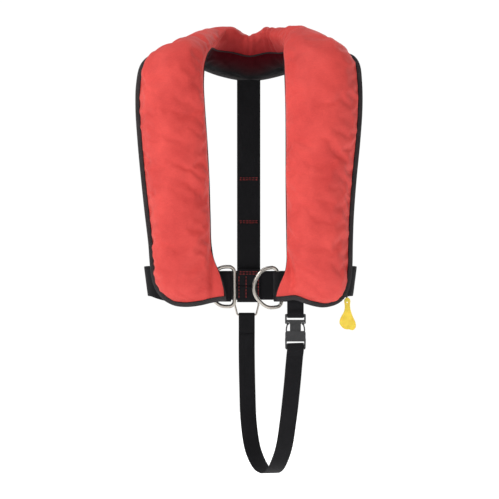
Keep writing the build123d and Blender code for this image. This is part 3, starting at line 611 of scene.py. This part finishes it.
def stuffed(shape):
    """The horseshoe's grid after cloth simulation: pinned seams, slack cloth and air pressure."""
    grid = shape.points()
    rows, columns = grid.shape[:2]
    start = grid.reshape(-1, 3)
    jitter = np.array([noise.noise_vector(Vector(p) / 14.0) for p in start])
    start = start + jitter * 1.1
    seam = np.zeros((rows, columns), bool)
    seam[:, 0] = seam[:, shape.front_cells] = True
    seam[:2] = seam[-2:] = True
    seam |= shape.flat()
    seam = seam.ravel()
    start[seam] = grid.reshape(-1, 3)[seam]
    cloth = make_mesh("cloth_work", start, grid_faces(rows, columns, closed=True, flip=True))
    pins = cloth.vertex_groups.new(name="pins")
    pins.add([int(i) for i in np.nonzero(seam)[0]], 1.0, "REPLACE")
    slack = cloth.vertex_groups.new(name="slack")
    bend = np.clip((shape.mid[:, 2] + 30) / 50, 0, 1)
    for i in range(rows):
        slack.add(list(range(i * columns, (i + 1) * columns)), float(bend[i]), "REPLACE")
    modifier = cloth.modifiers.new("cloth", "CLOTH")
    settings = modifier.settings
    settings.quality = 6
    settings.mass = 0.25
    settings.tension_stiffness = settings.compression_stiffness = 22
    settings.shear_stiffness = 8
    settings.bending_stiffness = 0.35
    settings.air_damping = 3
    settings.use_pressure = True
    settings.uniform_pressure_force = 4.0
    settings.vertex_group_mass = "pins"
    settings.vertex_group_shrink = "slack"
    settings.shrink_min = -0.045
    settings.shrink_max = -0.085
    settings.effector_weights.gravity = 0
    modifier.collision_settings.use_collision = False
    modifier.point_cache.frame_start = 1
    modifier.point_cache.frame_end = 22
    for moment in range(1, 23):
        bpy.context.scene.frame_set(moment)
    result = cloth.evaluated_get(bpy.context.evaluated_depsgraph_get()).data
    after = np.zeros(len(result.vertices) * 3)
    result.vertices.foreach_get("co", after)
    bpy.context.scene.frame_set(1)
    after = after.reshape(-1, 3) / MM
    bpy.data.objects.remove(cloth)
    moved = after - start
    distance = np.linalg.norm(moved, axis=1, keepdims=True)
    limit = 7.0
    moved *= np.minimum(1, limit / np.maximum(distance, 1e-9))
    return (start + moved).reshape(grid.shape)


def bell(x, width):
    return np.exp(-(x / width) ** 2)


def crease(grid, normals, a, b, width, depth):
    """A ridge, or a groove if depth is negative, along the front-view line from a to b."""
    a, b = np.array(a, float), np.array(b, float)
    flat = grid[..., [0, 2]]
    t = np.clip(np.sum((flat - a) * (b - a), -1) / np.sum((b - a) ** 2), 0, 1)
    away = np.linalg.norm(flat - (a + (b - a) * t[..., None]), axis=-1)
    fade = np.sin(np.clip(t, 0.02, 0.98) * math.pi) ** 0.5
    facing = np.clip(-normals[..., 1], 0, 1)
    grid += normals * (depth * bell(away, width) * fade * facing)[..., None]


def dress(shape, grid):
    """Puckers along the seams, gathers round the nape and the folds that a packed cover takes."""
    rows, columns = grid.shape[:2]
    along = unit(np.gradient(grid, axis=0))
    around = unit(np.roll(grid, -1, 1) - np.roll(grid, 1, 1))
    normals = unit(np.cross(around, along))
    run = shape.run[:, None]
    column = np.arange(columns)[None, :]
    front = shape.front_cells
    cell = 4.6
    from_outer = np.minimum(column, columns - column) * cell
    from_inner = np.abs(column - front) * cell
    wobble = np.array([noise.noise(Vector((r / 34.0, 3.1, 0.7))) for r in shape.run])[:, None]
    rough = np.array([noise.noise(Vector((r / 90.0, 8.2, 4.4))) for r in shape.run])[:, None]
    phase = run / 12.5 * math.tau + 5.0 * wobble
    puckers = np.sin(phase) * (0.9 + 1.2 * rough)
    lift = 0.95 * puckers * bell(from_outer - 7, 9) + 0.5 * np.sin(phase * 1.27 + 1) * bell(from_inner - 6, 8)
    nape = bell(run - shape.run[-1] / 2, 115)
    gathers = np.sin(run / 19.0 * math.tau + 9.0 * wobble + 0.07 * column) * (0.75 + 0.9 * rough)
    gathers = np.sign(gathers) * np.abs(gathers) ** 1.4
    spread = np.clip(1.25 - np.abs(column - front * 0.78) / (front * 0.6), 0, 1)
    lift = lift + 3.0 * nape * gathers * spread
    seam = (bell(from_outer, 2.2) + bell(from_inner, 2.2)).clip(0, 1)
    lift = lift * (1 - seam)
    slow = np.array([
        noise.noise(Vector(p) / 46.0) + 0.5 * noise.noise(Vector(p) / 19.0) for p in grid.reshape(-1, 3)
    ])
    lift = lift + 1.7 * slow.reshape(rows, columns) * (1 - seam)
    grid = grid + normals * lift[..., None]
    for a, b, width, depth in FOLDS:
        crease(grid, normals, a, b, width, depth)
    x, z = grid[..., 0], grid[..., 2]
    grid[..., 2] += bell(z + 349, 12) * (6.0 * bell(x - 68, 17) - 3.2 * bell(x + 86, 22))
    return grid


# Front-view folds in mm: from, to, half width and height; a negative height is a valley.
FOLDS = [
    ((-112, -338), (-58, -262), 9, -2.2),
    ((-60, -250), (-48, -335), 7, 2.4),
    ((-150, -40), (-84, 8), 9, -2.0),
    ((-146, -150), (-98, -166), 8, -1.3),
    ((-140, -262), (-84, -240), 10, -1.5),
    ((62, -296), (98, -346), 8, -1.4),
    ((58, -262), (46, -338), 7, 2.6),
    ((150, -44), (78, 4), 9, -2.2),
    ((146, -120), (104, -146), 9, -1.4),
    ((142, -228), (96, -250), 9, -1.6),
    ((148, -300), (118, -345), 8, -1.6),
]


def cover_piece(name, grid, columns, shape, reverse):
    part = grid[:, columns]
    rows, count = part.shape[:2]
    girth = np.linalg.norm(np.diff(part, axis=1), axis=2).mean(0)
    across = np.concatenate([[0], np.cumsum(girth)])
    uvs = np.stack(np.broadcast_arrays(across[None, :], shape.run[:, None]), -1)
    return make_mesh(name, part.reshape(-1, 3), grid_faces(rows, count, flip=reverse), uvs.reshape(-1, 2))


shape = Horseshoe()
skin = dress(shape, stuffed(shape))
total_columns = FRONT_CELLS + BACK_CELLS
NAPE_REACH = 105               # half-width along the spine of the shaded nape, mm
NAPE_COLUMNS = 13              # cells of the cover next to the lining that are shaded
cover = cover_piece("cover", skin, list(range(FRONT_CELLS + 1)), shape, True)
# Painted shade inside the nape: the cover darkens towards the lining seam, most at the middle of the nape,
# where shadow falls in the neck opening.
at_nape = bell(shape.run - shape.run[-1] / 2, NAPE_REACH)[:, None]
to_lining = np.clip(1 - (FRONT_CELLS - np.arange(FRONT_CELLS + 1)) / NAPE_COLUMNS, 0, 1)[None, :]
painted_shade = cover.data.attributes.new("painted_shade", "FLOAT", "POINT")
painted_shade.data.foreach_set("value", (0.8 * np.clip(at_nape * 1.4, 0, 1) * to_lining).ravel())
finish_piece(
    cover, "root", RED,
    ["cover_left_lobe", "cover_right_lobe", "cover_collar", "cover_corner_left", "cover_corner_right"],
    levels=1,
)
lining = cover_piece("lining", skin, list(range(FRONT_CELLS, total_columns)) + [0], shape, True)
# Painted shade on the lining by the nape: next to the cover seam it is tinted towards a deep shaded red and
# loses its gloss, continuing the shadowed cover.
back = np.arange(total_columns - FRONT_CELLS + 1)
to_cover = np.clip(1 - back / (0.55 * back[-1]), 0, 1)[None, :]
shade = lining.data.attributes.new("painted_shade", "FLOAT", "POINT")
shade.data.foreach_set("value", (np.clip(at_nape * 1.4, 0, 1) * to_cover).ravel())
finish_piece(
    lining, "root", BLACK,
    ["lining_left_lobe", "lining_right_lobe", "lining_collar", "closure_strip_left", "closure_strip_right"],
    levels=1,
)


def bladder_piece():
    small = Horseshoe(spine=120, front=16, back=10, inset=9.0)
    grid = small.points()[6:-6]
    rows, columns = grid.shape[:2]
    faces = grid_faces(rows, columns, closed=True, flip=True)
    faces.append(list(range(columns)))
    faces.append(list(range((rows - 1) * columns, rows * columns))[::-1])
    uvs = np.stack(np.broadcast_arrays(np.arange(columns)[None, :] * 9.0, small.run[6:-6, None]), -1)
    obj = make_mesh("bladder_folded", grid.reshape(-1, 3), faces, uvs.reshape(-1, 2))
    return finish_piece(obj, "root", COATED, ["bladder", "reflective_tapes"])


bladder_piece()


# ------------------------------------------------------------------ binding and piping
def edge_path(row):
    """A lobe's bottom edge, from its inner corner to its outer corner."""
    return skin[row, : FRONT_CELLS + 1][::-1]


def binding_piece():
    """Tape folded over the cover's edge: bottom edge, outer edge, nape and down the other side."""
    left, right = edge_path(0), edge_path(-1)[::-1]
    path = np.vstack([left[:-1], skin[:, 0], right[1:]])
    facing = np.vstack([
        np.repeat(shape.facing[:1], len(left) - 1, 0),
        shape.facing,
        np.repeat(shape.facing[-1:], len(right) - 1, 0),
    ])
    flat = spaced(path, 4.0)
    order = np.concatenate([[0], np.cumsum(np.linalg.norm(np.diff(path, axis=0), axis=1))])
    at = np.linspace(0, order[-1], len(flat))
    normal = unit(np.stack([np.interp(at, order, facing[:, i]) for i in range(3)], 1))
    for _ in range(3):
        flat[1:-1] = (flat[:-2] + flat[1:-1] * 2 + flat[2:]) / 4
    tangent = unit(np.gradient(flat, axis=0))
    outward = unit(np.cross(normal, tangent))
    if outward[len(flat) // 2] @ shape.across[len(shape.run) // 2] > 0:
        outward = -outward
    centre = flat + outward * 3.2
    obj = ribbon("edge_binding", centre, outward, 7.4, 3.6)
    finish_piece(obj, "root", BINDING, ["binding_left", "binding_right", "binding_collar"])
    row = centre - outward * 2.0 + normal * 1.75
    thread = stitches("binding_stitches", [row], (0, -1, 0.2), 2.6, 1.4, 0.26)
    finish_piece(thread, "root", THREAD_DARK)
    piping = tube("edge_piping", spaced(skin[:, FRONT_CELLS], 4.0), 1.15)
    finish_piece(piping, "root", BINDING)


binding_piece()


# ------------------------------------------------------------------ belt
BELT_Z, BELT_W, BELT_T = -329.0, 45.0, 2.2
FRONT_Y, BACK_Y = -131.1, 55.0


def belt_half(name, sign, half_x, fold, open_to, closed_at, tail_end, node):
    """Half of the belt: from the back sleeve round the waist to a fold that holds a ring, and back."""
    x, y = fold
    r = y - FRONT_Y
    inner = FRONT_Y + BELT_T
    side = sign * half_x
    main = rounded(
        [
            (sign * 1.0, BACK_Y, BELT_Z), (side, BACK_Y, BELT_Z),
            (side, FRONT_Y, BELT_Z), (x, FRONT_Y, BELT_Z),
        ],
        [78, 26],
    )
    turns = [
        (x - sign * r * math.sin(a), y - r * math.cos(a), BELT_Z) for a in np.linspace(0, math.pi, 14)[1:]
    ]
    tail = rounded(
        [
            (x, y + r, BELT_Z), (open_to, y + r, BELT_Z),
            (closed_at, inner, BELT_Z), (tail_end, inner, BELT_Z),
        ],
        [8, 8],
    )
    path = spaced(np.vstack([main, turns, tail[1:]]), 2.4)
    rise = np.clip((np.abs(path[:, 0]) - 114) / 38, 0, 1)
    rise = rise * rise * (3 - 2 * rise)
    path[:, 2] += 8.0 * rise
    across = np.stack([sign * 0.13 * rise, np.zeros(len(path)), np.ones(len(path))], 1)
    obj = ribbon(name, path, across, BELT_W, BELT_T)
    finish_piece(obj, "root", WEBBING, [node])
    front = FRONT_Y - BELT_T / 2
    rows = [
        [(at, front, BELT_Z - 18), (at, front, BELT_Z + 18)]
        for at in (tail_end - sign * 3, tail_end - sign * 7)
    ]
    thread = stitches(name + "_stitches", rows, (0, -1, 0))
    finish_piece(thread, "root", THREAD_DARK)


belt_half("belt_left", -1, 154.6, (-32.0, -126.85), -67, -80, -88, "waist_belt_left")
belt_half("belt_right", 1, 158.0, (45.0, -123.4), 54, 75, 116, "waist_belt_right")


def loop_piece(name, low, high, x, width, thickness, nodes):
    """A sewn webbing loop: a rounded rectangle between two corners in y and z, centred on x."""
    (y0, z0), (y1, z1) = low, high
    middle = 0.5 * (z0 + z1)
    corners = [(x, y0, middle), (x, y0, z1), (x, y1, z1), (x, y1, z0), (x, y0, z0), (x, y0, middle - 1)]
    path = rounded(corners, [2.2] * 4, 2.0)
    obj = ribbon(name, path, (1, 0, 0), width, thickness, closed=True)
    return finish_piece(obj, "root", WEBBING, nodes)


loop_piece("back_sleeve_web", (52.2, -354.4), (57.8, -304.2), -1.0, 36.0, 1.7, ["back_sleeve"])
loop_piece("belt_keeper_a", (-134.0, -353.8), (-126.0, -303.6), -98.5, 15.0, 1.4, ["belt_keeper_left"])
loop_piece("belt_keeper_b", (-134.0, -353.6), (-126.0, -302.6), 123.0, 10.0, 1.4, ["belt_keeper_right"])


# ------------------------------------------------------------------ back strap
def back_strap():
    top, foot = (27.6, -4.0), (59.6, -300.0)
    slope = (foot[0] - top[0]) / (foot[1] - top[1])

    def at(z, off):
        return (-1.0, top[0] + slope * (z - top[1]) + off, z)

    upper = ribbon("back_strap_top", spaced([at(-4, -2), at(-232, -2)], 4), (1, 0, 0), 36.0, 2.0)
    finish_piece(upper, "root", WEBBING, ["back_strap_upper"])
    low_path = rounded([at(-162, 0.2), at(-300, 0.2), (-1.0, 59.9, -341)], [60], 4)
    lower = ribbon("back_strap_foot", low_path, (1, 0, 0), 36.0, 2.0)
    finish_piece(lower, "root", WEBBING, ["back_strap_lower"])
    rows = []
    for z in (-162.5, -165.5, -229.0, -232.0):
        y = at(z, -3.1)[1]
        rows.append([(-15.5, y, z), (13.5, y, z)])
    sleeve = 51.2
    for z in (-308.0, -311.5):
        rows.append([(-16, sleeve, z), (14, sleeve, z)])
    for x in (-16.0, -5.0, 14.0):
        rows.append([(x, sleeve, -314), (x, sleeve, -349.0)])
    thread = stitches("back_strap_stitches", rows, (0, -1, 0), 3.0, 1.5, 0.42)
    finish_piece(thread, "root", THREAD_RED)


back_strap()


# ------------------------------------------------------------------ crotch strap and buckle straps
CROTCH_W, CROTCH_T = 25.0, 1.8
STRAP_ROWS = 150               # points along the hanging strap
RING_X, RING_Y, RING_TOP, RING_FOOT = -4.0, 62.5, -346.0, -375.0
BUCKLE_X, BUCKLE_Y, BUCKLE_TOP = 68.8, -146.0, -369.5
STRAP = [
    (RING_X, RING_Y, -383),
    (RING_X, RING_Y, -435),
    (-3, 61, -490),
    (-1, 55, -540),
    (5, 35, -580),
    (17, 0, -606),
    (30, -45, -613),
    (41, -90, -602),
    (51.5, -118, -572),
    (58, -134, -530),
    (63, -142, -485),
    (67.8, BUCKLE_Y, -432),
]


def wrap_path(x, y, z, radius, gap, tail, sign):
    """Down one side, round a level bar and back: tail is where both ends stop, sign says which side."""
    near, far = y - gap, y + gap
    arc = [
        (x, y - (radius * math.cos(a)), z - sign * radius * math.sin(a))
        for a in np.linspace(-0.45, math.pi + 0.45, 16)
    ]
    mouth = z + sign * (radius + 3.5)
    return spaced([(x, near, tail), (x, near, mouth), *arc, (x, far, mouth), (x, far, tail)], 1.6)


def crotch_parts():
    line = smooth_rows(STRAP, STRAP_ROWS)
    order = np.arange(STRAP_ROWS)
    half = int(np.argmin(line[:, 2]))
    bar = 1.5 + 0.35 + CROTCH_T / 2
    up = wrap_path(RING_X, RING_Y, RING_FOOT, bar, 1.0, -404, -1)
    rear = np.vstack([up[: int(len(up) * 0.94)], line[(line[:, 2] < -409) & (order <= half)]])
    obj = ribbon("crotch_strap_rear", spaced(rear, 2.4), (1, 0, 0), CROTCH_W, CROTCH_T)
    finish_piece(obj, None, WEBBING, ["crotch_strap_eye", "crotch_strap"])
    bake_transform(obj)
    foot = BUCKLE_TOP - 52.9
    front_line = line[order >= half]
    low, high = foot - 1.3, foot + 8.7
    y0, y1 = BUCKLE_Y - 5.3, BUCKLE_Y + 5.3
    hook = rounded(
        [
            (65.6, BUCKLE_Y + 3.0, -456), (67.9, BUCKLE_Y + 1.6, -431),
            (BUCKLE_X, y1, low - 1), (BUCKLE_X, y1, high),
            (BUCKLE_X, y0, high), (BUCKLE_X, y0, low - 1), (67.9, BUCKLE_Y - 0.9, -431),
        ],
        [12, 4, 2.2, 2.2, 4], 1.6,
    )
    ahead = front_line[front_line[:, 2] < -440][::-1]
    run = np.vstack([hook, ahead])
    obj = ribbon("crotch_strap_front", spaced(run, 2.4), (1, 0, 0.03), CROTCH_W, CROTCH_T)
    finish_piece(obj, None, WEBBING, ["crotch_strap_loop"])
    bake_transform(obj)
    keeper = wrap_path(RING_X, RING_Y, RING_TOP, 1.5 + 0.35 + 0.7, 0.9, -327, 1)
    obj = ribbon("crotch_ring_web", keeper, (1, 0, 0), CROTCH_W, 1.4)
    finish_piece(obj, "root", WEBBING, ["crotch_ring_keeper"])
    y0, y1 = BUCKLE_Y - 4.2, BUCKLE_Y + 4.2
    top, bar_low = BUCKLE_TOP + 1.4, BUCKLE_TOP - 5.2
    hook = rounded(
        [
            (BUCKLE_X, BUCKLE_Y + 1.4, -347), (BUCKLE_X, BUCKLE_Y + 1.4, top + 6),
            (BUCKLE_X, y1, top), (BUCKLE_X, y1, bar_low), (BUCKLE_X, y0, bar_low), (BUCKLE_X, y0, top),
            (BUCKLE_X, BUCKLE_Y - 0.6, top + 6), (BUCKLE_X, BUCKLE_Y - 0.6, -347),
        ],
        [6, 4, 2, 2, 4, 6], 1.6,
    )
    obj = ribbon("buckle_strap_web", hook, (1, 0, 0), 24.7, 1.7)
    finish_piece(obj, "root", WEBBING, ["buckle_strap"])


crotch_parts()


# ------------------------------------------------------------------ pull cord
def pull_cord():
    """The toggle's cord, from the lever down to the toggle's eye."""
    route = [
        (0.128, -0.150, -0.2704),
        (0.1285, -0.150, -0.283),
        (0.131, -0.149, -0.298),
        (0.136, -0.1474, -0.312),
        (0.1415, -0.1452, -0.326),
        (0.1453, -0.1436, -0.338),
        (0.146, -0.143, -0.350),
    ]
    curve = bpy.data.curves.new("pull_cord_line", "CURVE")
    curve.dimensions = "3D"
    curve.bevel_depth = 0.00125
    curve.bevel_resolution = 4
    curve.resolution_u = 12
    spline = curve.splines.new("NURBS")
    spline.points.add(len(route) - 1)
    for point, place in zip(spline.points, route):
        point.co = (*place, 1.0)
    spline.order_u = 3
    spline.use_endpoint_u = True
    obj = bpy.data.objects.new("pull_cord_line", curve)
    bpy.context.scene.collection.objects.link(obj)
    p = Paint("cord_braid", roughness=0.7)
    body = p.coords("Object")
    braid = p.ribs(body, 0.9, "DIAGONAL")
    p.base(p.ramp(braid, [(0.2, (0.006, 0.006, 0.007)), (0.8, (0.03, 0.03, 0.033))]))
    p.normal(p.bump(braid, 0.2, 0.7))
    curve.materials.append(p.material)
    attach(obj, "pull_toggle")
    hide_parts("pull_cord")


pull_cord()


# ------------------------------------------------------------------ studio
def studio():
    """White paper under the jacket, a white horizon, a darker sky and four soft lights."""
    points = [(2400.0 * math.cos(a), 2400.0 * math.sin(a), -640.0) for a in np.linspace(0, math.tau, 65)[:-1]]
    paper = make_mesh("studio_paper", points, [list(range(64))])
    p = Paint("studio_paper", roughness=0.9)
    tone = p.noise(p.coords("Object"), 900.0, 2.0)
    p.base(p.ramp(tone, [(0.3, (0.86, 0.86, 0.86)), (0.7, (0.9, 0.9, 0.9))]))
    p.set(p.shader, Emission_Color=(1.0, 1.0, 1.0, 1.0), Emission_Strength=0.8)
    paper.data.materials.append(p.material)

    world = bpy.data.worlds.new("studio_air")
    bpy.context.scene.world = world
    world.use_nodes = True
    tree = world.node_tree
    where = tree.nodes.new("ShaderNodeTexCoord")
    height = tree.nodes.new("ShaderNodeSeparateXYZ")
    sky = tree.nodes.new("ShaderNodeValToRGB")
    sky.color_ramp.elements[0].position = 0.14
    sky.color_ramp.elements[0].color = (1.02, 1.02, 1.02, 1.0)
    sky.color_ramp.elements[1].position = 0.36
    sky.color_ramp.elements[1].color = (0.22, 0.225, 0.235, 1.0)
    tree.links.new(where.outputs["Generated"], height.inputs["Vector"])
    tree.links.new(height.outputs["Z"], sky.inputs["Fac"])
    tree.links.new(sky.outputs["Color"], tree.nodes["Background"].inputs["Color"])
    tree.nodes["Background"].inputs["Strength"].default_value = 1.0

    def softbox(name, place, target, size, watts, colour=(1, 1, 1)):
        light = bpy.data.lights.new(name, "AREA")
        light.shape = "RECTANGLE"
        light.size, light.size_y = size
        light.energy = watts
        light.color = colour
        obj = bpy.data.objects.new(name, light)
        obj.location = place
        aim = Vector(target) - Vector(place)
        obj.rotation_euler = aim.to_track_quat("-Z", "Y").to_euler()
        bpy.context.scene.collection.objects.link(obj)

    centre = (0, -0.05, -0.22)
    softbox("key", (-1.9, -2.2, 1.7), centre, (1.1, 1.1), 50, (1.0, 0.985, 0.96))
    softbox("fill", (2.4, -2.2, 0.3), centre, (1.6, 2.0), 3, (0.97, 0.98, 1.0))
    softbox("top", (-0.8, -0.4, 2.1), centre, (1.4, 1.0), 17)
    softbox("rim", (0.9, 1.5, 0.9), centre, (1.0, 1.4), 10)


studio()
